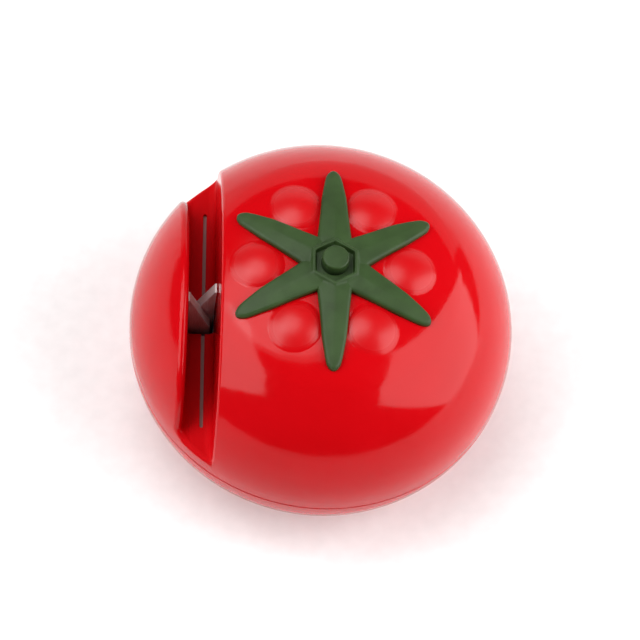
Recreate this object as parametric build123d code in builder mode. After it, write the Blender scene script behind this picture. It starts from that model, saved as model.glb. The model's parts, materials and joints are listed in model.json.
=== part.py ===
from build123d import *

import os
from math import cos, radians, sin

# Tomato-shaped pull-through knife sharpener, in millimetres, +Z up. The origin is on the table, under the middle
# of the body. The sharpening slot runs along Y on the -X side, and two carbide plates cross in it to form a V.

# Body: widest ring, flank, shoulder and crown of the fruit
BODY_R = 31.0
EQUATOR_Z = 18.5
FLANK_RISE = 25.0  # the flank is part of an ellipse this high
FLANK_TURN = 48.6  # degrees of that ellipse that the flank follows
SHELF_R = 17.7  # the shoulder turns level here
SHELF_Z = EQUATOR_Z + 20.1
SHELF_LEAN = 25.0
CROWN_R = 12.0
CROWN_Z = EQUATOR_Z + 21.25
TOP_Z = EQUATOR_Z + 21.7
WALL = 2.0
PARTING_Z = EQUATOR_Z - 2.1
PARTING_R = 30.95
BOWL_DEPTH = 20.5  # depth that the bowl would have without its flat base
BOWL_POWER = 2.43
BASE_Z = 1.0
FLOOR_T = 2.6
SEAM_BREAK = 0.18
LIP_H = 1.3
LIP_T = 0.85
FIT = 0.1

# Bulges of the fruit, one in each gap of the calyx
ARMS = 6
BULGE_POS_R = 12.2
BULGE_R = 9.5
BULGE_PROUD = 0.8
BULGE_LEAN = 8.5
BULGE_BLEND_R = 1.0

# Sharpening slot
SLOT_X = -19.87
SLOT_W = 4.85
SLOT_FLOOR_Z = EQUATOR_Z + 1.3
SLOT_FLOOR_R = 1.3
SLOT_WALL = 1.8
SLOT_EDGE_R = 0.8
TROUGH_Z = SLOT_FLOOR_Z - SLOT_WALL
GROOVE_X = -19.2
GROOVE_W = 0.6
GROOVE_DEPTH = 0.6
GROOVE_L = 38.4
WINDOW_L = 5.4

# Carbide plates: upright, slanted the opposite way to each other, one behind the other
PLATE_W = 4.0
PLATE_T = 1.6
PLATE_PITCH = 1.7
PLATE_OFFSET = 0.25  # sideways, so that each plate lies against its own wall
PLATE_TIP_Z = EQUATOR_Z + 10.9
PLATE_TIP_FLAT = 0.25
PLATE_SLANT_H = 9.4
PLATE_ROUND = 2.2
PLATE_FOOT_Z = 12.6
PIN_R = 0.8
PIN_Z = 15.2

# Seat under the slot that holds the plates
SEAT_W = 8.0
SEAT_L = 9.6
SEAT_BASE_Z = 11.2
FLANGE_T = 2.0
FLANGE_L = 22.4
FLANGE_CORNER_R = 2.6
SEAT_SCREW_Y = 8.2
SEAT_BOSS_R = 2.4
SEAT_TOP_Z = TROUGH_Z - FIT
SEAT_EDGE = 0.4

# Calyx
ARM_NOTCH = (4.62, 2.67)  # where two arms meet, along and across an arm
ARM_SIDE = [(8.5, 2.27), (12.2, 1.93), (15.2, 1.38)]
ARM_END = (16.8, 0.98)
ARM_TURN = 30.0
CALYX_TOP_Z = EQUATOR_Z + 23.5
CALYX_TOP_R = 68.0
CALYX_EDGE_R = 0.35
CALYX_LIFT = 0.08  # clear of the fruit
CALYX_SKIRT = 3.0
DISH_R = 3.59
DISH_DEPTH = 0.7
STEM_R = 2.06
STEM_TOP_Z = EQUATOR_Z + 25.0
STEM_EDGE_R = 0.3
CORE_R = 2.2
PEG_R = 0.8
PEG_POS_R = 13.5
PEG_FOOT_Z = EQUATOR_Z + 18.6

# Screws, posts, washer and rubber ring
BORE_FIT = 0.05
POST_POS_R = 9.5
POST_R = 2.8
POST_JOINT_Z = 10.0
POST_SHELF_T = 2.0
SHELL_SCREW_R = 1.2
SHELL_SCREW_L = 12.0
SHELL_HEAD_R = 2.3
SMALL_SCREW_R = 0.9
SMALL_SCREW_L = 5.2
SMALL_HEAD_R = 1.7
HEAD_H = 1.3
DRIVE_W = 0.7  # arms of the cross recess in a screw head
DRIVE_DEPTH = 0.7
BORE_SPARE = 0.8
WASHER_R = 3.6
WASHER_T = 0.6
PAD_R = 17.5
PAD_HOLE_R = 13.0
PAD_T = 2.0
PAD_EDGE_R = 0.4


# Half outlines are drawn on this upright plane and turned about Z, so their seams lie towards -Y
OUTLINE = Plane(origin=(0, 0, 0), x_dir=(0, -1, 0), z_dir=(-1, 0, 0))


def ring(radius, count, start=0.0):
    """Evenly spaced XY places round the Z axis."""
    turns = [radians(start + 360 / count * i) for i in range(count)]
    return [(radius * cos(t), radius * sin(t)) for t in turns]


def bowl_radius(z, trim=0.0):
    """Radius of the bowl's surface at height z, drawn in by trim."""
    drop = (EQUATOR_Z - z) / (BOWL_DEPTH - trim)
    return (BODY_R - trim) * (1 - drop**BOWL_POWER) ** (1 / BOWL_POWER)


def fruit_dome(trim=0.0):
    """Solid upper half of the fruit, standing on the parting plane, its surface drawn in by trim."""
    lean = radians(SHELF_LEAN)
    shelf = (SHELF_R - trim * sin(lean), SHELF_Z - trim * cos(lean))
    crown = (CROWN_R, CROWN_Z - trim)
    with BuildPart() as dome:
        with BuildSketch(OUTLINE):
            with BuildLine():
                radii = (BODY_R - trim, FLANK_RISE - trim)
                flank = EllipticalCenterArc((0, EQUATOR_Z), *radii, start_angle=0, arc_size=FLANK_TURN)
                brow = Spline(flank @ 1, shelf, crown, (0, TOP_Z - trim), tangents=(flank % 1, (-1, 0)))
                Polyline(brow @ 1, (0, PARTING_Z), (PARTING_R - trim, PARTING_Z), flank @ 0)
            make_face()
        revolve(axis=Axis.Z)
    return dome.part


def fruit_bowl(low, trim=0.0):
    """Solid lower half of the fruit, from height low up to the parting plane, its surface drawn in by trim."""
    steps = 8
    heights = [low + (PARTING_Z - low) * i / steps for i in range(steps + 1)]
    with BuildPart() as bowl:
        with BuildSketch(OUTLINE):
            with BuildLine():
                side = Spline(*[(bowl_radius(z, trim), z) for z in heights])
                Polyline(side @ 1, (0, PARTING_Z), (0, low), side @ 0)
            make_face()
        revolve(axis=Axis.Z)
    return bowl.part


def screw(x, y, head_z, shank_r, shank_l, head_r):
    """Pan head screw driven upwards, the underside of its head at head_z."""
    with BuildPart() as body:
        with BuildSketch(Plane.XY.offset(head_z - HEAD_H)):
            with Locations((x, y)):
                Circle(head_r)
        extrude(amount=HEAD_H)
        fillet(body.edges().sort_by(Axis.Z)[0], HEAD_H / 3)
        with BuildSketch(Plane.XY.offset(head_z)):
            with Locations((x, y)):
                Circle(shank_r)
        extrude(amount=shank_l)
        chamfer(body.edges().sort_by(Axis.Z)[-1], shank_r / 3)
        with BuildSketch(Plane.XY.offset(head_z - HEAD_H)):
            with Locations((x, y)):
                Rectangle(head_r * 1.2, DRIVE_W)
                Rectangle(DRIVE_W, head_r * 1.2)
        extrude(amount=DRIVE_DEPTH, mode=Mode.SUBTRACT)
    return body.part


post_places = ring(POST_POS_R, 3)
peg_places = ring(PEG_POS_R, 3, 90)
seat_screw_places = [(SLOT_X, side * SEAT_SCREW_Y) for side in (-1, 1)]
flange_top_z = SEAT_BASE_Z + FLANGE_T
lip_r = PARTING_R - WALL + LIP_T
shell_head_z = POST_JOINT_Z - POST_SHELF_T
pocket_w = PLATE_W + 2 * PLATE_OFFSET + FIT
pocket_l = PLATE_PITCH + PLATE_T + 2 * FIT
washer_z = TOP_Z - WALL - WASHER_T
core_foot_z = TOP_Z - WALL + FIT

# Outside of the fruit: the dome with its six bulges, blended into it
with BuildPart() as fruit:
    add(fruit_dome())
    reach = BULGE_R - BULGE_PROUD
    bulge_axis_r = BULGE_POS_R - reach * sin(radians(BULGE_LEAN))
    bulge_z = CROWN_Z - reach * cos(radians(BULGE_LEAN))
    smooth_edges = fruit.edges()
    with Locations(*[(x, y, bulge_z) for x, y in ring(bulge_axis_r, ARMS)]):
        Sphere(BULGE_R)
    fillet(fruit.edges() - smooth_edges, BULGE_BLEND_R)


# Trough that carries the slot, and the posts, bosses and washer seat that hang inside the upper shell
with BuildPart() as inner_ribs:
    with BuildSketch(Plane.XY.offset(TROUGH_Z)):
        with Locations((SLOT_X, 0)):
            Rectangle(SLOT_W + 2 * SLOT_WALL, 2 * BODY_R)
    extrude(amount=FLANK_RISE)
    with BuildSketch(Plane.XY.offset(POST_JOINT_Z)):
        with Locations(*post_places):
            Circle(POST_R)
    extrude(amount=TOP_Z)
    with BuildSketch(Plane.XY.offset(flange_top_z)):
        with Locations(*seat_screw_places):
            Circle(SEAT_BOSS_R)
    extrude(amount=TROUGH_Z - flange_top_z)

with BuildPart() as upper_hollow:
    add(fruit_dome(WALL))
    add(inner_ribs.part, mode=Mode.SUBTRACT)

with BuildPart() as low_ribs:
    add(inner_ribs.part)
    split(bisect_by=Plane.XY.offset(PARTING_Z + LIP_H + 2 * FIT), keep=Keep.BOTTOM)

with BuildPart() as upper_shell:
    add(fruit.part)
    # the slot, with a rounded floor and soft upper edges
    with BuildSketch(Plane.XZ.offset(-BODY_R)) as slot_section:
        with Locations((SLOT_X, SLOT_FLOOR_Z)):
            Rectangle(SLOT_W, 2 * FLANK_RISE, align=(Align.CENTER, Align.MIN))
        fillet(slot_section.vertices().group_by(Axis.Z)[0], SLOT_FLOOR_R)
    extrude(amount=2 * BODY_R, mode=Mode.SUBTRACT)
    slot_edges = [e for e in upper_shell.edges() if abs(e.center().X - SLOT_X) < SLOT_W]
    fillet([e for e in slot_edges if e.center().Z > SLOT_FLOOR_Z + 2 * SLOT_WALL], SLOT_EDGE_R)
    # drain groove along the floor, and the window that the plates stand in
    with BuildSketch(Plane.XY.offset(SLOT_FLOOR_Z)):
        with Locations((GROOVE_X, 0)):
            SlotOverall(GROOVE_L, GROOVE_W, rotation=90)
    extrude(amount=-GROOVE_DEPTH, mode=Mode.SUBTRACT)
    with BuildSketch(Plane.XY.offset(SLOT_FLOOR_Z + SLOT_FLOOR_R)):
        with Locations((SLOT_X, 0)):
            Rectangle(SLOT_W, WINDOW_L)
    extrude(amount=-SLOT_FLOOR_R - 2 * SLOT_WALL, mode=Mode.SUBTRACT)
    chamfer(upper_shell.edges().group_by(Axis.Z)[0].sort_by(SortBy.LENGTH)[-1], SEAM_BREAK)
    # hollow inside, with the ribs left standing, and the rebate for the lower shell's lip
    add(upper_hollow.part, mode=Mode.SUBTRACT)
    with BuildSketch(Plane.XY.offset(PARTING_Z)):
        Circle(lip_r + FIT)
    extrude(amount=LIP_H + FIT, mode=Mode.SUBTRACT)
    add(low_ribs.part)
    # holes for the calyx's core and pegs, and for the screws
    with BuildSketch(Plane.XY.offset(TOP_Z + WALL)):
        Circle(CORE_R + BORE_FIT)
        with Locations(*peg_places):
            Circle(PEG_R + BORE_FIT)
    extrude(amount=-3 * WALL, mode=Mode.SUBTRACT)
    with BuildSketch(Plane.XY.offset(POST_JOINT_Z)):
        with Locations(*post_places):
            Circle(SHELL_SCREW_R + BORE_FIT)
    extrude(amount=SHELL_SCREW_L, mode=Mode.SUBTRACT)
    with BuildSketch(Plane.XY.offset(flange_top_z)):
        with Locations(*seat_screw_places):
            Circle(SMALL_SCREW_R + BORE_FIT)
    extrude(amount=SMALL_SCREW_L - FLANGE_T + BORE_SPARE, mode=Mode.SUBTRACT)

with BuildPart() as lower_shell:
    add(fruit_bowl(BASE_Z))
    chamfer(lower_shell.edges().group_by(Axis.Z)[-1], SEAM_BREAK)
    add(fruit_bowl(BASE_Z + FLOOR_T, WALL), mode=Mode.SUBTRACT)
    # lip that enters the upper shell
    with BuildSketch(Plane.XY.offset(PARTING_Z)):
        Circle(lip_r)
        Circle(lip_r - LIP_T, mode=Mode.SUBTRACT)
    extrude(amount=LIP_H)
    # screw posts, counterbored from below
    with BuildSketch(Plane.XY.offset(BASE_Z + FLOOR_T / 2)):
        with Locations(*post_places):
            Circle(SHELL_HEAD_R + WALL)
    extrude(amount=POST_JOINT_Z - FIT - BASE_Z - FLOOR_T / 2)
    with BuildSketch(Plane.XY.offset(BASE_Z)):
        with Locations(*post_places):
            Circle(SHELL_HEAD_R + FIT)
    extrude(amount=shell_head_z - BASE_Z, mode=Mode.SUBTRACT)
    with BuildSketch(Plane.XY.offset(BASE_Z)):
        with Locations(*post_places):
            Circle(SHELL_SCREW_R + FIT)
    extrude(amount=POST_JOINT_Z, mode=Mode.SUBTRACT)
    # recess for the rubber ring
    with BuildSketch(Plane.XY.offset(BASE_Z)):
        Circle(PAD_R + FIT)
        Circle(PAD_HOLE_R - FIT, mode=Mode.SUBTRACT)
    extrude(amount=PAD_T - BASE_Z, mode=Mode.SUBTRACT)

with BuildPart() as rubber_ring:
    with BuildSketch():
        Circle(PAD_R)
        Circle(PAD_HOLE_R, mode=Mode.SUBTRACT)
    extrude(amount=PAD_T)
    fillet(rubber_ring.edges().group_by(Axis.Z)[0], PAD_EDGE_R)

with BuildPart() as blade_seat:
    with BuildSketch(Plane.XY.offset(SEAT_BASE_Z)):
        with Locations((SLOT_X, 0)):
            RectangleRounded(SEAT_W, FLANGE_L, FLANGE_CORNER_R)
    extrude(amount=FLANGE_T)
    with BuildSketch(Plane.XY.offset(SEAT_BASE_Z)):
        with Locations((SLOT_X, 0)):
            Rectangle(SEAT_W, SEAT_L)
    extrude(amount=SEAT_TOP_Z - SEAT_BASE_Z)
    chamfer(blade_seat.edges().group_by(Axis.Z)[-1], SEAT_EDGE)
    # pocket for the pair of plates, cross hole for their pin, and screw holes
    with BuildSketch(Plane.XY.offset(PLATE_FOOT_Z)):
        with Locations((SLOT_X, 0)):
            Rectangle(pocket_w, pocket_l)
    extrude(amount=SEAT_TOP_Z - PLATE_FOOT_Z, mode=Mode.SUBTRACT)
    with BuildSketch(Plane.XZ.offset(-SEAT_L)):
        with Locations((SLOT_X, PIN_Z)):
            Circle(PIN_R + BORE_FIT)
    extrude(amount=2 * SEAT_L, mode=Mode.SUBTRACT)
    with BuildSketch(Plane.XY.offset(SEAT_BASE_Z)):
        with Locations(*seat_screw_places):
            Circle(SMALL_SCREW_R + FIT)
    extrude(amount=FLANGE_T, mode=Mode.SUBTRACT)


def carbide_plate(side):
    """Plate with one slanted, rounded-off corner. Side 1 is the rear plate, side -1 its mirrored neighbour."""
    outer_x = SLOT_X + side * (PLATE_OFFSET + PLATE_W / 2)
    inner_x = outer_x - side * PLATE_W
    low_z = PLATE_TIP_Z - PLATE_SLANT_H
    with BuildPart() as plate:
        with BuildSketch(Plane.XZ.offset(-side * (PLATE_PITCH - PLATE_T) / 2)) as outline:
            with BuildLine():
                Polyline(
                    (inner_x, PLATE_FOOT_Z),
                    (outer_x, PLATE_FOOT_Z),
                    (outer_x, PLATE_TIP_Z),
                    (outer_x - side * PLATE_TIP_FLAT, PLATE_TIP_Z),
                    (inner_x, low_z),
                    close=True,
                )
            make_face()
            corner = outline.vertices().sort_by(lambda v: abs(v.X - inner_x) + abs(v.Z - low_z))[0]
            fillet(corner, PLATE_ROUND)
        extrude(amount=-side * PLATE_T)
        with BuildSketch(Plane.XZ.offset(-SEAT_L)):
            with Locations((SLOT_X, PIN_Z)):
                Circle(PIN_R + BORE_FIT)
        extrude(amount=2 * SEAT_L, mode=Mode.SUBTRACT)
    return plate.part


with BuildPart() as carbide_plate_rear:
    add(carbide_plate(1))

with BuildPart() as carbide_plate_front:
    add(carbide_plate(-1))

with BuildPart() as plate_pin:
    with BuildSketch(Plane.XZ.offset(-SEAT_L / 2)):
        with Locations((SLOT_X, PIN_Z)):
            Circle(PIN_R)
    extrude(amount=SEAT_L)
    chamfer(plate_pin.edges().filter_by(GeomType.CIRCLE), PIN_R / 4)

# Calyx: six bowed arms on the fruit's top, cut to a domed upper face
with BuildSketch() as arm:
    with BuildLine():
        side = Spline(ARM_NOTCH, *ARM_SIDE, ARM_END)
        mirror(side, about=Plane.XZ)
        TangentArc(side @ 1, (ARM_END[0], -ARM_END[1]), tangent=side % 1)
        Polyline(ARM_NOTCH, (0, 0), (ARM_NOTCH[0], -ARM_NOTCH[1]))
    make_face()

with BuildPart() as calyx_dome:
    with Locations((0, 0, CALYX_TOP_Z - CALYX_TOP_R)):
        Sphere(CALYX_TOP_R, rotation=(90, 0, 0))

with BuildPart() as calyx:
    with BuildSketch(Plane.XY.offset(SHELF_Z - CALYX_SKIRT)):
        with PolarLocations(0, ARMS, ARM_TURN):
            add(arm.sketch)
    extrude(amount=STEM_TOP_Z - SHELF_Z + CALYX_SKIRT)
    add(calyx_dome.part, mode=Mode.INTERSECT)
    add(fruit_dome(-CALYX_LIFT), mode=Mode.SUBTRACT)
    # dish and stem
    with BuildSketch(Plane.XY.offset(CALYX_TOP_Z)):
        RegularPolygon(DISH_R, ARMS, rotation=ARM_TURN)
    extrude(amount=-DISH_DEPTH, mode=Mode.SUBTRACT)
    with BuildSketch(Plane.XY.offset(TOP_Z + DISH_DEPTH)):
        Circle(STEM_R)
    extrude(amount=STEM_TOP_Z - TOP_Z - DISH_DEPTH)
    fillet(calyx.edges().group_by(Axis.Z)[-1], STEM_EDGE_R)
    # core and pegs that enter the upper shell
    with BuildSketch(Plane.XY.offset(core_foot_z)):
        Circle(CORE_R)
    extrude(amount=TOP_Z + DISH_DEPTH - core_foot_z)
    with BuildSketch(Plane.XY.offset(PEG_FOOT_Z)):
        with Locations(*peg_places):
            Circle(PEG_R)
    extrude(amount=CROWN_Z + WALL / 4 - PEG_FOOT_Z)
    with BuildSketch(Plane.XY.offset(core_foot_z)):
        Circle(SMALL_SCREW_R + BORE_FIT)
    extrude(amount=SMALL_SCREW_L - WASHER_T, mode=Mode.SUBTRACT)
    top_face = calyx.faces().filter_by(GeomType.SPHERE).sort_by(SortBy.AREA)[-1]
    fillet([e for e in top_face.edges() if Vector(e.center().X, e.center().Y).length > 2 * DISH_R], CALYX_EDGE_R)

with BuildPart() as calyx_washer:
    with BuildSketch(Plane.XY.offset(washer_z)):
        Circle(WASHER_R)
        Circle(SMALL_SCREW_R + FIT, mode=Mode.SUBTRACT)
    extrude(amount=WASHER_T)

with BuildPart() as calyx_screw:
    add(screw(0, 0, washer_z, SMALL_SCREW_R, SMALL_SCREW_L, SMALL_HEAD_R))

pieces = {
    "upper_shell": upper_shell,
    "lower_shell": lower_shell,
    "rubber_ring": rubber_ring,
    "blade_seat": blade_seat,
    "carbide_plate_rear": carbide_plate_rear,
    "carbide_plate_front": carbide_plate_front,
    "plate_pin": plate_pin,
    "calyx": calyx,
    "calyx_washer": calyx_washer,
    "calyx_screw": calyx_screw,
}

for number, (x, y) in enumerate(post_places, 1):
    with BuildPart() as shell_screw:
        add(screw(x, y, shell_head_z, SHELL_SCREW_R, SHELL_SCREW_L, SHELL_HEAD_R))
    pieces[f"shell_screw_{number}"] = shell_screw

for end, (x, y) in zip(("front", "rear"), seat_screw_places):
    with BuildPart() as seat_screw:
        add(screw(x, y, SEAT_BASE_Z, SMALL_SCREW_R, SMALL_SCREW_L, SMALL_HEAD_R))
    pieces[f"seat_screw_{end}"] = seat_screw

os.makedirs("parts", exist_ok=True)
for name, piece in pieces.items():
    piece.part.label = name
    export_step(piece.part, f"parts/{name}.step")
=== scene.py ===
# %% [markdown]
# # A tomato-shaped knife sharpener
# The frame holds every moulded and ground part at its real size. Blender adds the looks: a finer
# calyx, the finishes, a pale table and soft studio light. Lengths are metres, except that the calyx
# is drawn in millimetres.

# %% Load the frame
import math

import bmesh
import bpy
import json
from mathutils import Matrix, Quaternion, Vector
from mathutils.bvhtree import BVHTree


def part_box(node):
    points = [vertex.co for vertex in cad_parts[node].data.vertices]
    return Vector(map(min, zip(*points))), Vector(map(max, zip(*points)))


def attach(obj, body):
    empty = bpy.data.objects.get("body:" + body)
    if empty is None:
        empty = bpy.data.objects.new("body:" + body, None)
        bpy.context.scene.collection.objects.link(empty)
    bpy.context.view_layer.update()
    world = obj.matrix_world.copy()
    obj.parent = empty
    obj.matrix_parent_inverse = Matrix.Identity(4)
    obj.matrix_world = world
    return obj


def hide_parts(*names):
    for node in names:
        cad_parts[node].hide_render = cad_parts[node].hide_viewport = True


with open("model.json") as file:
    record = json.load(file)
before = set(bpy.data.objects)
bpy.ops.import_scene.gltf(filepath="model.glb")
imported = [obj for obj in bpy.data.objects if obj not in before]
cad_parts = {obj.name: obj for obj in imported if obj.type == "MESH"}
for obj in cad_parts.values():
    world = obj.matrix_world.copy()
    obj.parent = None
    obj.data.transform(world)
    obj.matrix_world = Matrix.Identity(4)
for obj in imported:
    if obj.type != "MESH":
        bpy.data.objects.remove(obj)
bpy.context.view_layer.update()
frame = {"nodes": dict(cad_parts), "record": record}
nodes = frame["nodes"]
MM = 0.001

# %% [markdown]
# ## Heights to work from
# The body is widest a little below half its height. The lip of the lower shell ends just under that
# ring, so the top of the lower shell gives it. The calyx is placed from its own box: its stem is
# the highest point of all.

# %% Read the main places from the frame
lower_low, lower_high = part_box("lower_shell")
calyx_low, calyx_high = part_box("calyx")
LIP_TO_EQUATOR = 0.8 * MM
equator_z = lower_high.z + LIP_TO_EQUATOR
print("equator at", round(equator_z / MM, 2), "mm, stem top at", round(calyx_high.z / MM, 2), "mm")

# %% [markdown]
# ## Camera
# A long lens, about half a metre away and well above the table, keeps the round body free of
# distortion. The camera is also turned a little about its own line of sight, which tips the whole
# object to one side in the frame.

# %% Place the camera
CAMERA_LENS = 176.6
CAMERA_DISTANCE = 0.509
CAMERA_HEIGHT = math.radians(63.09)
CAMERA_TURN = math.radians(-10.845)
CAMERA_ROLL = math.radians(12.13)
CAMERA_SHIFT = (-0.0015, 0.0123)
CAMERA_NEAR, CAMERA_FAR = 0.01, 20

sight = Vector((
    -math.sin(CAMERA_TURN) * math.cos(CAMERA_HEIGHT),
    math.cos(CAMERA_TURN) * math.cos(CAMERA_HEIGHT),
    -math.sin(CAMERA_HEIGHT),
))
camera_data = bpy.data.cameras.new("camera")
camera = bpy.data.objects.new("camera", camera_data)
bpy.context.scene.collection.objects.link(camera)
camera.rotation_mode = "QUATERNION"
camera.location = Vector((0, 0, equator_z)) - sight * CAMERA_DISTANCE
camera.rotation_quaternion = sight.to_track_quat("-Z", "Y") @ Quaternion((0, 0, 1), CAMERA_ROLL)
camera_data.lens = CAMERA_LENS
camera_data.shift_x, camera_data.shift_y = CAMERA_SHIFT
camera_data.clip_start, camera_data.clip_end = CAMERA_NEAR, CAMERA_FAR
bpy.context.scene.camera = camera
print("camera at", [round(v, 3) for v in camera.location])

# %% [markdown]
# ## Helpers for materials
# Colours are written as sRGB hex values, as on a colour chart, and one function turns them to the
# linear values that the shader works in. A second one adds a node, with its settings and its links,
# so that a material reads as a list of steps.


# %% Colour and node helpers
def linear(hex_colour):
    """Linear RGBA of an sRGB colour such as "#C8102E"."""
    channels = [int(hex_colour[i:i + 2], 16) / 255 for i in (1, 3, 5)]
    return [c / 12.92 if c <= 0.04045 else ((c + 0.055) / 1.055) ** 2.4 for c in channels] + [1.0]


def add_node(tree, kind, settings=None, **inputs):
    """Adds a node. Each input is a value or an output socket.

    An input's name has underscores for its spaces, and a numbered input is written as _0.
    """
    node = tree.nodes.new(kind)
    for name, value in (settings or {}).items():
        setattr(node, name, value)
    for name, value in inputs.items():
        key = int(name[1:]) if name.startswith("_") else name.replace("_", " ")
        if isinstance(value, bpy.types.NodeSocket):
            tree.links.new(value, node.inputs[key])
        else:
            node.inputs[key].default_value = value
    return node


def new_material(name):
    """An empty node material with its Principled shader."""
    material = bpy.data.materials.new(name)
    material.use_nodes = True
    tree = material.node_tree
    tree.nodes.clear()
    shader = add_node(tree, "ShaderNodeBsdfPrincipled")
    output = add_node(tree, "ShaderNodeOutputMaterial")
    tree.links.new(shader.outputs["BSDF"], output.inputs["Surface"])
    return material, tree, shader


def ramp(tree, factor, stops):
    """Colour ramp from (position, colour) stops."""
    node = add_node(tree, "ShaderNodeValToRGB", Fac=factor)
    elements = node.color_ramp.elements
    while len(elements) < len(stops):
        elements.new(0.5)
    for element, (place, colour) in zip(elements, stops):
        element.position, element.color = place, colour
    return node.outputs["Color"]


def grey(value):
    return [value, value, value, 1.0]


print("helpers ready, signal red is", [round(c, 3) for c in linear("#C8102E")])

# %% [markdown]
# ## Red ABS
# Both shells are injection-moulded ABS from a polished mould, so the plastic is a deep, even red
# with a clear gloss. A slow drift in the colour and a faint unevenness keep reflections alive. The
# six bumps round the calyx are where fingers press, so they are rubbed to a softer shine. A pale
# greyish line is painted along the bottom of the groove in the slot: a painted highlight of the
# light above in its glossy floor.

# %% Moulded red ABS, polished
ABS_DRIFT_MM = 14.0
ABS_FLOW_MM = 9.0
ABS_RUB_MM = 1.6
BUMP_ORBIT = 12.2 * MM
BUMP_RADIUS = 3.9 * MM
BUMP_TOP_ONLY = 34.0 * MM
GROOVE_X = -19.2 * MM
GROOVE_HALF = 0.3 * MM
GROOVE_HALF_LENGTH = 19.0 * MM
GROOVE_FLOOR = 19.2 * MM
SLOT_X = -19.87 * MM
SLOT_HALF = 2.43 * MM
SLOT_DULL_BELOW = 21.4 * MM
SLOT_DULL_ABOVE = 19.1 * MM
BUMP_EDGE = (0.8, 1.15)
GROOVE_EDGE = (0.8, 1.05)
GROOVE_END = 0.4 * MM
# Height band over the floor of the groove where the painted highlight is laid.
GROOVE_HIGHLIGHT_LEVEL = (0.05 * MM, 0.15 * MM)
SLOT_EDGE = 0.1 * MM
SLOT_DULL_FADE = 1.6 * MM
ABS_ROUGHNESS = (0.08, 0.14)
BUMP_ROUGHNESS = 0.3
SLOT_ROUGHNESS = 0.6
ABS_SHINE = 0.23
BUMP_SHINE = 0.42
SLOT_SHINE = 0.04
ABS_IOR = 1.47


def calculate(tree, operation, *values, clamp=False):
    """Math node, so that a mask can be written like a sum."""
    inputs = {f"_{index}": value for index, value in enumerate(values)}
    settings = {"operation": operation, "use_clamp": clamp}
    return add_node(tree, "ShaderNodeMath", settings, **inputs).outputs[0]


def soft_mask(tree, value, inside, outside):
    """1 where the value is at the inside limit, 0 at the outside limit, soft between."""
    node = add_node(tree, "ShaderNodeMapRange", {"interpolation_type": "SMOOTHSTEP"}, Value=value)
    for name, number in (("From Min", inside), ("From Max", outside), ("To Min", 1.0), ("To Max", 0.0)):
        node.inputs[name].default_value = number
    return node.outputs["Result"]


def bump_mask(tree, x, y, z):
    """1 on the six bumps. The angle is folded into a sixth of a turn, so one distance serves them all."""
    sixth = math.tau / 6
    angle = calculate(tree, "ARCTAN2", y, x)
    folded = calculate(tree, "FLOORED_MODULO", calculate(tree, "ADD", angle, sixth / 2), sixth)
    cosine = calculate(tree, "COSINE", calculate(tree, "SUBTRACT", folded, sixth / 2))
    x_square = calculate(tree, "MULTIPLY", x, x)
    y_square = calculate(tree, "MULTIPLY", y, y)
    squares = calculate(tree, "ADD", x_square, y_square)
    radius = calculate(tree, "SQRT", squares)
    cross = calculate(tree, "MULTIPLY", calculate(tree, "MULTIPLY", radius, cosine), 2 * BUMP_ORBIT)
    apart = calculate(tree, "SUBTRACT", calculate(tree, "ADD", squares, BUMP_ORBIT ** 2), cross)
    distance = calculate(tree, "SQRT", calculate(tree, "MAXIMUM", apart, 0.0))
    near = soft_mask(tree, distance, BUMP_RADIUS * BUMP_EDGE[0], BUMP_RADIUS * BUMP_EDGE[1])
    return calculate(tree, "MULTIPLY", near, calculate(tree, "GREATER_THAN", z, BUMP_TOP_ONLY))


def groove_highlight_mask(tree, x, y, z):
    """1 on the floor of the groove, where a pale highlight is painted into the colour."""
    aside = calculate(tree, "ABSOLUTE", calculate(tree, "SUBTRACT", x, GROOVE_X))
    narrow = soft_mask(tree, aside, GROOVE_HALF * GROOVE_EDGE[0], GROOVE_HALF * GROOVE_EDGE[1])
    from_middle = calculate(tree, "ABSOLUTE", y)
    long = soft_mask(tree, from_middle, GROOVE_HALF_LENGTH, GROOVE_HALF_LENGTH + GROOVE_END)
    level = calculate(tree, "ABSOLUTE", calculate(tree, "SUBTRACT", z, GROOVE_FLOOR))
    low = soft_mask(tree, level, *GROOVE_HIGHLIGHT_LEVEL)
    return calculate(tree, "MULTIPLY", calculate(tree, "MULTIPLY", narrow, long), low)


def slot_mask(tree, x, z):
    """1 on the floor of the slot, where passing blades have scratched the plastic dull."""
    aside = calculate(tree, "ABSOLUTE", calculate(tree, "SUBTRACT", x, SLOT_X))
    inside = soft_mask(tree, aside, SLOT_HALF, SLOT_HALF + SLOT_EDGE)
    below = soft_mask(tree, z, SLOT_DULL_BELOW - SLOT_DULL_FADE, SLOT_DULL_BELOW)
    height = calculate(tree, "MULTIPLY", below, calculate(tree, "GREATER_THAN", z, SLOT_DULL_ABOVE))
    return calculate(tree, "MULTIPLY", inside, height)


def blend_colour(tree, factor, first, second):
    """Mix of two colours."""
    node = add_node(tree, "ShaderNodeMix", {"data_type": "RGBA"}, _0=factor, _6=first, _7=second)
    return node.outputs[2]


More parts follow.
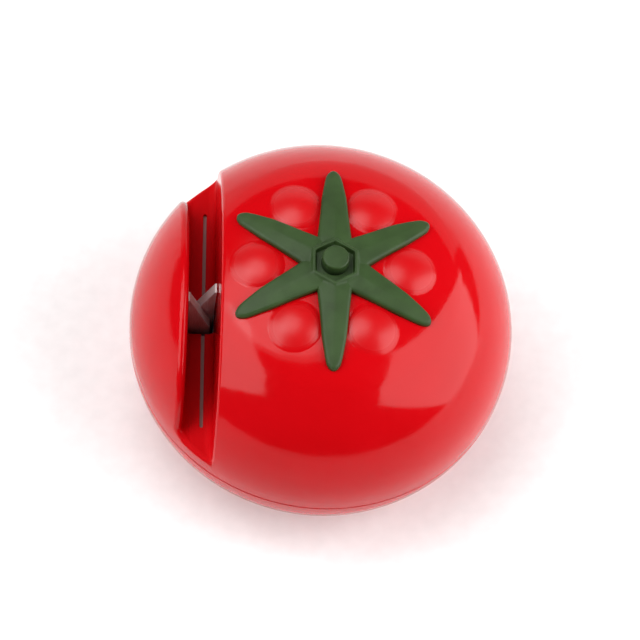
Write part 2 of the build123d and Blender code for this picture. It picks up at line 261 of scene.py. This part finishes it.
def moulded_red_abs():
    material, tree, shader = new_material("moulded_red_abs_polished")
    place = add_node(tree, "ShaderNodeTexCoord").outputs["Object"]
    x, y, z = add_node(tree, "ShaderNodeSeparateXYZ", Vector=place).outputs
    bumps = bump_mask(tree, x, y, z)
    groove = groove_highlight_mask(tree, x, y, z)
    dull = slot_mask(tree, x, z)
    drift = add_node(tree, "ShaderNodeTexNoise", Vector=place, Scale=1 / (ABS_DRIFT_MM * MM), Detail=3.0)
    colour = ramp(tree, drift.outputs["Fac"], [(0.3, linear("#B7040A")), (0.7, linear("#BF050E"))])
    # Painted highlight: along the bottom of the groove the red is mixed towards a pale greyish pink.
    tree.links.new(blend_colour(tree, groove, colour, linear("#96706E")), shader.inputs["Base Color"])
    rub = add_node(tree, "ShaderNodeTexNoise", Vector=place, Scale=1 / (ABS_RUB_MM * MM), Detail=6.0)
    gloss, worn = (grey(value) for value in ABS_ROUGHNESS)
    rough = ramp(tree, rub.outputs["Fac"], [(0.35, gloss), (0.75, worn)])
    rubbed = blend_colour(tree, bumps, rough, grey(BUMP_ROUGHNESS))
    scratched = blend_colour(tree, dull, rubbed, grey(SLOT_ROUGHNESS))
    tree.links.new(scratched, shader.inputs["Roughness"])
    flow = add_node(tree, "ShaderNodeTexNoise", Vector=place, Scale=1 / (ABS_FLOW_MM * MM), Detail=1.0)
    bump = add_node(tree, "ShaderNodeBump", Strength=0.12, Distance=0.1 * MM, Height=flow.outputs["Fac"])
    tree.links.new(bump.outputs["Normal"], shader.inputs["Normal"])
    shader.inputs["IOR"].default_value = ABS_IOR
    shine = blend_colour(tree, bumps, grey(ABS_SHINE), grey(BUMP_SHINE))
    dulled = blend_colour(tree, dull, shine, grey(SLOT_SHINE))
    tree.links.new(dulled, shader.inputs["Specular IOR Level"])
    return material


red_abs = moulded_red_abs()
print(red_abs.name, "with", len(red_abs.node_tree.nodes), "nodes")

# %% [markdown]
# ## Green calyx plastic
# The calyx is moulded in a softer, satin plastic. Its mould was finely spark-eroded, which gives an
# even grain that spreads highlights, and its colour drifts slightly.

# %% Satin green plastic
GRAIN_MM = 0.22
CLOUD_MM = 3.0
CALYX_IOR = 1.5
CALYX_SHINE = 0.3


def satin_green_plastic():
    material, tree, shader = new_material("satin_green_polyethylene")
    place = add_node(tree, "ShaderNodeTexCoord").outputs["Object"]
    cloud = add_node(tree, "ShaderNodeTexNoise", Vector=place, Scale=1 / (CLOUD_MM * MM), Detail=4.0)
    colour = ramp(tree, cloud.outputs["Fac"], [(0.3, linear("#263A17")), (0.7, linear("#304720"))])
    tree.links.new(colour, shader.inputs["Base Color"])
    grain = add_node(tree, "ShaderNodeTexNoise", Vector=place, Scale=1 / (GRAIN_MM * MM), Detail=2.0)
    grained = grain.outputs["Fac"]
    bump = add_node(tree, "ShaderNodeBump", Strength=0.25, Distance=0.03 * MM, Height=grained)
    tree.links.new(bump.outputs["Normal"], shader.inputs["Normal"])
    rough = ramp(tree, grain.outputs["Fac"], [(0.3, grey(0.42)), (0.7, grey(0.55))])
    tree.links.new(rough, shader.inputs["Roughness"])
    shader.inputs["IOR"].default_value = CALYX_IOR
    shader.inputs["Specular IOR Level"].default_value = CALYX_SHINE
    return material


green_plastic = satin_green_plastic()
print(green_plastic.name)

# %% [markdown]
# ## Ground carbide
# The two plates are sintered tungsten carbide, ground on a diamond wheel. The wheel leaves fine
# parallel lines, so the metal is a dull grey with a streaky shine.

# %% Ground tungsten carbide
GRIND_PITCH_MM = 0.12
GRIND_STRETCH = 0.06
CARBIDE_METALLIC = 0.25


def ground_carbide():
    material, tree, shader = new_material("ground_tungsten_carbide")
    place = add_node(tree, "ShaderNodeTexCoord").outputs["Object"]
    along = add_node(tree, "ShaderNodeMapping", Vector=place, Scale=(1.0, 1.0, GRIND_STRETCH))
    stretched = along.outputs["Vector"]
    lines = add_node(
        tree, "ShaderNodeTexNoise", Vector=stretched, Scale=1 / (GRIND_PITCH_MM * MM), Detail=4.0
    )
    colour = ramp(tree, lines.outputs["Fac"], [(0.3, linear("#D8D2D0")), (0.7, linear("#ECE6E4"))])
    tree.links.new(colour, shader.inputs["Base Color"])
    rough = ramp(tree, lines.outputs["Fac"], [(0.3, grey(0.4)), (0.7, grey(0.55))])
    tree.links.new(rough, shader.inputs["Roughness"])
    ground = lines.outputs["Fac"]
    bump = add_node(tree, "ShaderNodeBump", Strength=0.4, Distance=0.02 * MM, Height=ground)
    tree.links.new(bump.outputs["Normal"], shader.inputs["Normal"])
    shader.inputs["Metallic"].default_value = CARBIDE_METALLIC
    return material


carbide = ground_carbide()
print(carbide.name)

# %% [markdown]
# ## Plain materials inside and underneath
# The blade seat is black nylon straight from the mould. The screws, washer and pin are zinc-plated
# steel, bright but slightly cloudy. The foot is plain black rubber, with the dusty look that rubber
# has.

# %% Nylon, zinc plate and rubber
SPECKLE_RELIEF = 0.02 * MM


def speckled(name, dark, light, speck_mm, roughness, metallic=0.0):
    """A plain finish whose colour, roughness and surface all follow one fine speckle."""
    material, tree, shader = new_material(name)
    place = add_node(tree, "ShaderNodeTexCoord").outputs["Object"]
    speck = add_node(tree, "ShaderNodeTexNoise", Vector=place, Scale=1 / (speck_mm * MM), Detail=5.0)
    colour = ramp(tree, speck.outputs["Fac"], [(0.3, linear(dark)), (0.7, linear(light))])
    tree.links.new(colour, shader.inputs["Base Color"])
    rough = ramp(tree, speck.outputs["Fac"], [(0.3, grey(roughness[0])), (0.7, grey(roughness[1]))])
    tree.links.new(rough, shader.inputs["Roughness"])
    specks = speck.outputs["Fac"]
    bump = add_node(tree, "ShaderNodeBump", Strength=0.3, Distance=SPECKLE_RELIEF, Height=specks)
    tree.links.new(bump.outputs["Normal"], shader.inputs["Normal"])
    shader.inputs["Metallic"].default_value = metallic
    return material


black_nylon = speckled("moulded_black_nylon", "#1B1B1D", "#242427", 0.4, (0.4, 0.55))
zinc_plate = speckled("bright_zinc_plated_steel", "#A9ABAD", "#C4C6C8", 0.8, (0.25, 0.38), metallic=1.0)
black_rubber = speckled("moulded_black_rubber", "#161616", "#232323", 0.5, (0.7, 0.85))
print(black_nylon.name, zinc_plate.name, black_rubber.name)

# %% [markdown]
# ## Dress the parts of the frame
# Each part keeps its shape and gets the finish of its slot, so one table from slot to material is
# enough.

# %% Give every part of the frame its finish
finishes = {
    "red_gloss_plastic": red_abs,
    "green_satin_plastic": green_plastic,
    "ground_carbide": carbide,
    "dark_plastic": black_nylon,
    "zinc_plated_steel": zinc_plate,
    "black_rubber": black_rubber,
}
slot_of = {part["node"]: part["material_slot"] for part in frame["record"]["subparts"]}
for name, part in nodes.items():
    part.data.materials.clear()
    part.data.materials.append(finishes[slot_of[name]])
print("dressed", len(slot_of), "parts")

# %% [markdown]
# ## A finer calyx
# The calyx of the frame is a plain star. The moulded one has soft upper edges, a raised six-sided
# rim round its hub and a low ridge down the middle of each arm. One arm is made as a grid whose
# columns follow the sides of the hexagon near the hub and straighten out along the arm. Five turned
# copies complete the star.

# %% Shape of one arm, in plain functions
STAR_ARMS = 6
TAN_30 = math.tan(math.radians(30))
NOTCH = (4.62, 2.67)
ARM_SIDE = [NOTCH, (8.5, 2.27), (12.2, 1.93), (15.2, 1.42), (17.0, 1.02)]
ARM_TIP = 17.5
TIP_ROUND = 1.35
TOP_ARC = 68.0
EDGE_ROUND = 0.5
RIDGE_DROP = 0.34
HUB_DEPTH = 0.7
RIM_RISE = 0.2
GAP = 0.08
RIM_INSIDE = (3.28, 3.6)
RIM_OUTSIDE = (3.9, 4.35)
RIDGE_START = (3.9, 4.6)
RIDGE_FADE = (6.0, 13.0)
RIDGE_FADE_SHARE = 0.7
RIDGE_SOFT = 0.02
RIDGE_MIN_WIDTH = 0.4
OUTLINE_STEPS = 80


def smooth(low, high, value):
    """Soft step from 0 at low to 1 at high."""
    share = min(1.0, max(0.0, (value - low) / (high - low)))
    return share * share * (3 - 2 * share)


def half_width(along):
    """Half of the arm's width in mm at a distance along its axis."""
    if along <= NOTCH[0]:
        return along * TAN_30
    width = ARM_SIDE[-1][1]
    for (near, wide), (far, slim) in zip(ARM_SIDE, ARM_SIDE[1:]):
        if near <= along <= far:
            width = wide + (slim - wide) * (along - near) / (far - near)
            break
    past = max(0.0, along - ARM_TIP + TIP_ROUND) / TIP_ROUND
    return width * math.sqrt(max(0.0, 1 - past * past))


outline = []
for k in range(OUTLINE_STEPS + 1):
    out = NOTCH[0] + (ARM_TIP - NOTCH[0]) * math.sin(math.pi / 2 * k / OUTLINE_STEPS)
    outline.append(Vector((out, half_width(out))))


def edge_distance(along, across):
    """Distance in mm from a point of the arm to its side."""
    here = Vector((along, abs(across)))
    nearest = math.inf
    for start, end in zip(outline, outline[1:]):
        run = end - start
        share = min(1.0, max(0.0, (here - start).dot(run) / max(run.length_squared, 1e-9)))
        nearest = min(nearest, (start + run * share - here).length)
    return nearest


def relief(hexagon, along, across):
    """Height in mm over the smooth top: hub recess, rim, ridge and rounded edge."""
    rise = smooth(*RIM_INSIDE, hexagon) * (HUB_DEPTH + RIM_RISE) - HUB_DEPTH
    rise -= RIM_RISE * smooth(*RIM_OUTSIDE, hexagon)
    wide = max(half_width(along), RIDGE_MIN_WIDTH)
    lean = math.sqrt(across * across + RIDGE_SOFT) / wide
    fade = 1 - RIDGE_FADE_SHARE * smooth(*RIDGE_FADE, along)
    rise -= RIDGE_DROP * min(lean, 1.0) * smooth(*RIDGE_START, hexagon) * fade
    short = EDGE_ROUND - min(EDGE_ROUND, edge_distance(along, across))
    return rise - EDGE_ROUND + math.sqrt(max(0.0, EDGE_ROUND ** 2 - short ** 2))


print("half width at 4.62, 10 and 17 mm:", [round(half_width(x), 2) for x in (4.62, 10, 17)])

# %% [markdown]
# The underside has to follow the fruit. A ray dropped onto the upper shell gives the height of its
# dome at any radius, and the calyx stays a hair above it, as in the frame.

# %% Height of the dome under the calyx
shell_mesh = nodes["upper_shell"].data
shell_points = [nodes["upper_shell"].matrix_world @ v.co for v in shell_mesh.vertices]
shell_tree = BVHTree.FromPolygons(shell_points, [list(face.vertices) for face in shell_mesh.polygons])
CLEAR_OF_CORE = 5.0
ARM_TURN = math.radians(30)


def dome_height(radius):
    """Height in mm of the upper shell, found along the axis of an arm that has no peg."""
    reach = max(radius, CLEAR_OF_CORE) * MM
    place = Vector((reach * math.cos(ARM_TURN), reach * math.sin(ARM_TURN), calyx_high.z + MM))
    return shell_tree.ray_cast(place, Vector((0, 0, -1)))[0].z / MM


print("dome height at 5, 10 and 17 mm:", [round(dome_height(r), 2) for r in (5, 10, 17)])

# %% [markdown]
# The columns are close together at the rim and at the tip, where the surface turns fastest, and the
# rows are close together at the sides for the same reason.

# %% Build the star
SLANT_FADE = (6.16, 10.0)
SLANT_ROUNDS = 12
COLUMN_STOPS = [(0.0, 2.0, 1), (2.0, 3.2, 4), (3.2, 4.4, 20), (4.4, 6.16, 12), (6.16, 15.6, 34)]
TIP_COLUMNS = 18
ROWS = 26
MERGE = 0.004 * MM
STEM_STANDS = 1.5


def column_places():
    """Distance of each column from the hub, measured so that a constant value is a hexagon."""
    places = [0.0]
    for low, high, count in COLUMN_STOPS:
        places += [low + (high - low) * (k + 1) / count for k in range(count)]
    last = places[-1]
    for k in range(TIP_COLUMNS):
        places.append(last + (ARM_TIP - last) * math.sin(math.pi / 2 * (k + 1) / TIP_COLUMNS))
    return places


def arm_point(hexagon, share):
    """Point of the arm in mm. The share runs from -1 to 1 across it."""
    slant = TAN_30 * (1 - smooth(*SLANT_FADE, hexagon))
    along = hexagon
    for _ in range(SLANT_ROUNDS):
        across = share * half_width(along)
        along = hexagon - abs(across) * slant
    across = share * half_width(along)
    radius = math.hypot(along, across)
    top = calyx_top - (TOP_ARC - math.sqrt(TOP_ARC ** 2 - radius ** 2))
    return Vector((along, across, top + relief(hexagon, along, across)))


def build_star():
    places = column_places()
    star = bmesh.new()
    bmesh.ops.create_grid(star, x_segments=len(places) - 1, y_segments=ROWS, size=1.0)
    for vert in star.verts:
        column = round((vert.co.x + 1) / 2 * (len(places) - 1))
        share = math.sin(vert.co.y * math.pi / 2)
        vert.co = arm_point(places[column], share) * MM
    arm = star.verts[:] + star.edges[:] + star.faces[:]
    bmesh.ops.rotate(star, verts=star.verts, cent=(0, 0, 0), matrix=Matrix.Rotation(ARM_TURN, 3, "Z"))
    for step in range(1, STAR_ARMS):
        copy = bmesh.ops.duplicate(star, geom=arm)["geom"]
        moved = [item for item in copy if isinstance(item, bmesh.types.BMVert)]
        turn = math.tau * step / STAR_ARMS
        bmesh.ops.rotate(star, verts=moved, cent=(0, 0, 0), matrix=Matrix.Rotation(turn, 3, "Z"))
    bmesh.ops.remove_doubles(star, verts=star.verts, dist=MERGE)
    bottom = bmesh.ops.extrude_face_region(star, geom=star.faces[:])["geom"]
    for vert in (item for item in bottom if isinstance(item, bmesh.types.BMVert)):
        vert.co.z = (dome_height(vert.co.xy.length / MM) + GAP) * MM
    bmesh.ops.recalc_face_normals(star, faces=star.faces)
    return star


calyx_top = (calyx_high.z / MM) - STEM_STANDS
star = build_star()
print("star has", len(star.faces), "faces, its top is at", round(calyx_top, 2), "mm")

# %% [markdown]
# The stem is a short round peg with a softened upper edge, turned from half of its outline.

# %% Turn the stem and finish the calyx
STEM_RADIUS = 2.06
STEM_FOOT_RADIUS = 2.16
STEM_SOFT = 0.32
STEM_SPARE = 0.01
STEM_STEPS = 8
SPIN_STEPS = 64


def add_stem(body):
    top = calyx_high.z / MM - STEM_SPARE
    profile = [(0.0, top), (STEM_RADIUS - STEM_SOFT, top)]
    for k in range(1, STEM_STEPS + 1):
        angle = math.pi / 2 * k / STEM_STEPS
        out = STEM_RADIUS - STEM_SOFT + STEM_SOFT * math.sin(angle)
        profile.append((out, top - STEM_SOFT + STEM_SOFT * math.cos(angle)))
    profile.append((STEM_FOOT_RADIUS, calyx_top - HUB_DEPTH - GAP))
    profile.append((0.0, calyx_top - HUB_DEPTH - GAP))
    points = [body.verts.new(Vector((radius, 0, height)) * MM) for radius, height in profile]
    edges = [body.edges.new(pair) for pair in zip(points, points[1:])]
    bmesh.ops.spin(
        body,
        geom=points + edges,
        cent=(0, 0, 0),
        axis=(0, 0, 1),
        angle=math.tau,
        steps=SPIN_STEPS,
        use_merge=True,
    )
    bmesh.ops.remove_doubles(body, verts=body.verts, dist=MERGE)
    bmesh.ops.recalc_face_normals(body, faces=body.faces)


add_stem(star)
for face in star.faces:
    face.smooth = True
calyx_mesh = bpy.data.meshes.new("calyx_moulded")
star.to_mesh(calyx_mesh)
star.free()
calyx_mesh.materials.append(green_plastic)
calyx_piece = bpy.data.objects.new("calyx_moulded", calyx_mesh)
bpy.context.scene.collection.objects.link(calyx_piece)
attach(calyx_piece, "root")
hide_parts("calyx")
print("calyx has", len(calyx_mesh.polygons), "faces")

# %% [markdown]
# ## Table
# A plain white table, much larger than the object, so that the glossy body mirrors it all round its
# lower edge.

# %% Make the table
TABLE_HALF = 0.9
TABLE_SPECK_SCALE = 400.0


def white_table():
    material, tree, shader = new_material("white_laminate")
    place = add_node(tree, "ShaderNodeTexCoord").outputs["Object"]
    speck = add_node(tree, "ShaderNodeTexNoise", Vector=place, Scale=TABLE_SPECK_SCALE, Detail=2.0)
    colour = ramp(tree, speck.outputs["Fac"], [(0.3, grey(0.86)), (0.7, grey(0.9))])
    tree.links.new(colour, shader.inputs["Base Color"])
    shader.inputs["Roughness"].default_value = 0.6
    mesh = bpy.data.meshes.new("table")
    grid = bmesh.new()
    bmesh.ops.create_grid(grid, x_segments=1, y_segments=1, size=TABLE_HALF)
    grid.to_mesh(mesh)
    grid.free()
    mesh.materials.append(material)
    table = bpy.data.objects.new("table", mesh)
    bpy.context.scene.collection.objects.link(table)


white_table()
print("table is", 2 * TABLE_HALF, "m wide")

# %% [markdown]
# ## Light
# Two softboxes stand low at the sides and a round one hangs above, a little to the left. Their
# edges show in the gloss, which is what makes plastic look polished. A wide, pale backdrop stands
# behind. Two broad fill lights add brightness but no shine, so they are hidden from glossy rays. A
# dim room fills the rest.

# %% Place the lights
SOFTBOX_LEVEL = 3.6
FILL_LEVEL = 0.3
ROOM_LEVEL = 0.06


def area_light(name, azimuth, elevation, distance, size, level, shape="RECTANGLE", tilt=0, shine=True):
    """Light that looks at the body.

    Azimuth 0 is behind the object and 90 is on its right, and tilt turns the light about its own axis.
    """
    turn, rise = math.radians(azimuth), math.radians(elevation)
    away = Vector((math.sin(turn) * math.cos(rise), math.cos(turn) * math.cos(rise), math.sin(rise)))
    data = bpy.data.lights.new(name, "AREA")
    data.shape = shape
    data.size, data.size_y = size
    area = size[0] * size[1] * (1 if shape == "RECTANGLE" else math.pi / 4)
    data.energy = level * math.pi * area
    light = bpy.data.objects.new(name, data)
    bpy.context.scene.collection.objects.link(light)
    light.rotation_mode = "QUATERNION"
    light.location = Vector((0, 0, equator_z)) + away * distance
    aim = (-away).to_track_quat("-Z", "Y")
    light.rotation_quaternion = aim @ Quaternion((0, 0, 1), math.radians(tilt))
    light.visible_glossy = shine


area_light("softbox_right", 99, 28, 0.7, (0.91, 0.78), SOFTBOX_LEVEL, tilt=-55)
area_light("softbox_left", -103, 42, 0.7, (0.51, 0.8), SOFTBOX_LEVEL, tilt=54)
area_light("softbox_top", -42, 72, 0.8, (0.46, 0.46), SOFTBOX_LEVEL * 0.7, "ELLIPSE")
area_light("softbox_top_edge", -42, 72, 0.81, (0.6, 0.6), SOFTBOX_LEVEL * 0.3, "ELLIPSE")
area_light("backdrop", 5, 15, 1.0, (2.0, 0.62), SOFTBOX_LEVEL * 0.22)
area_light("fill_right", 80, 50, 0.9, (0.9, 0.9), FILL_LEVEL, shine=False)
area_light("fill_left", -85, 45, 0.9, (0.9, 0.9), FILL_LEVEL, shine=False)

world = bpy.data.worlds.new("dim_room")
bpy.context.scene.world = world
world.use_nodes = True
world.node_tree.nodes["Background"].inputs["Color"].default_value = grey(1.0)
world.node_tree.nodes["Background"].inputs["Strength"].default_value = ROOM_LEVEL
bpy.context.scene.view_settings.view_transform = "Standard"
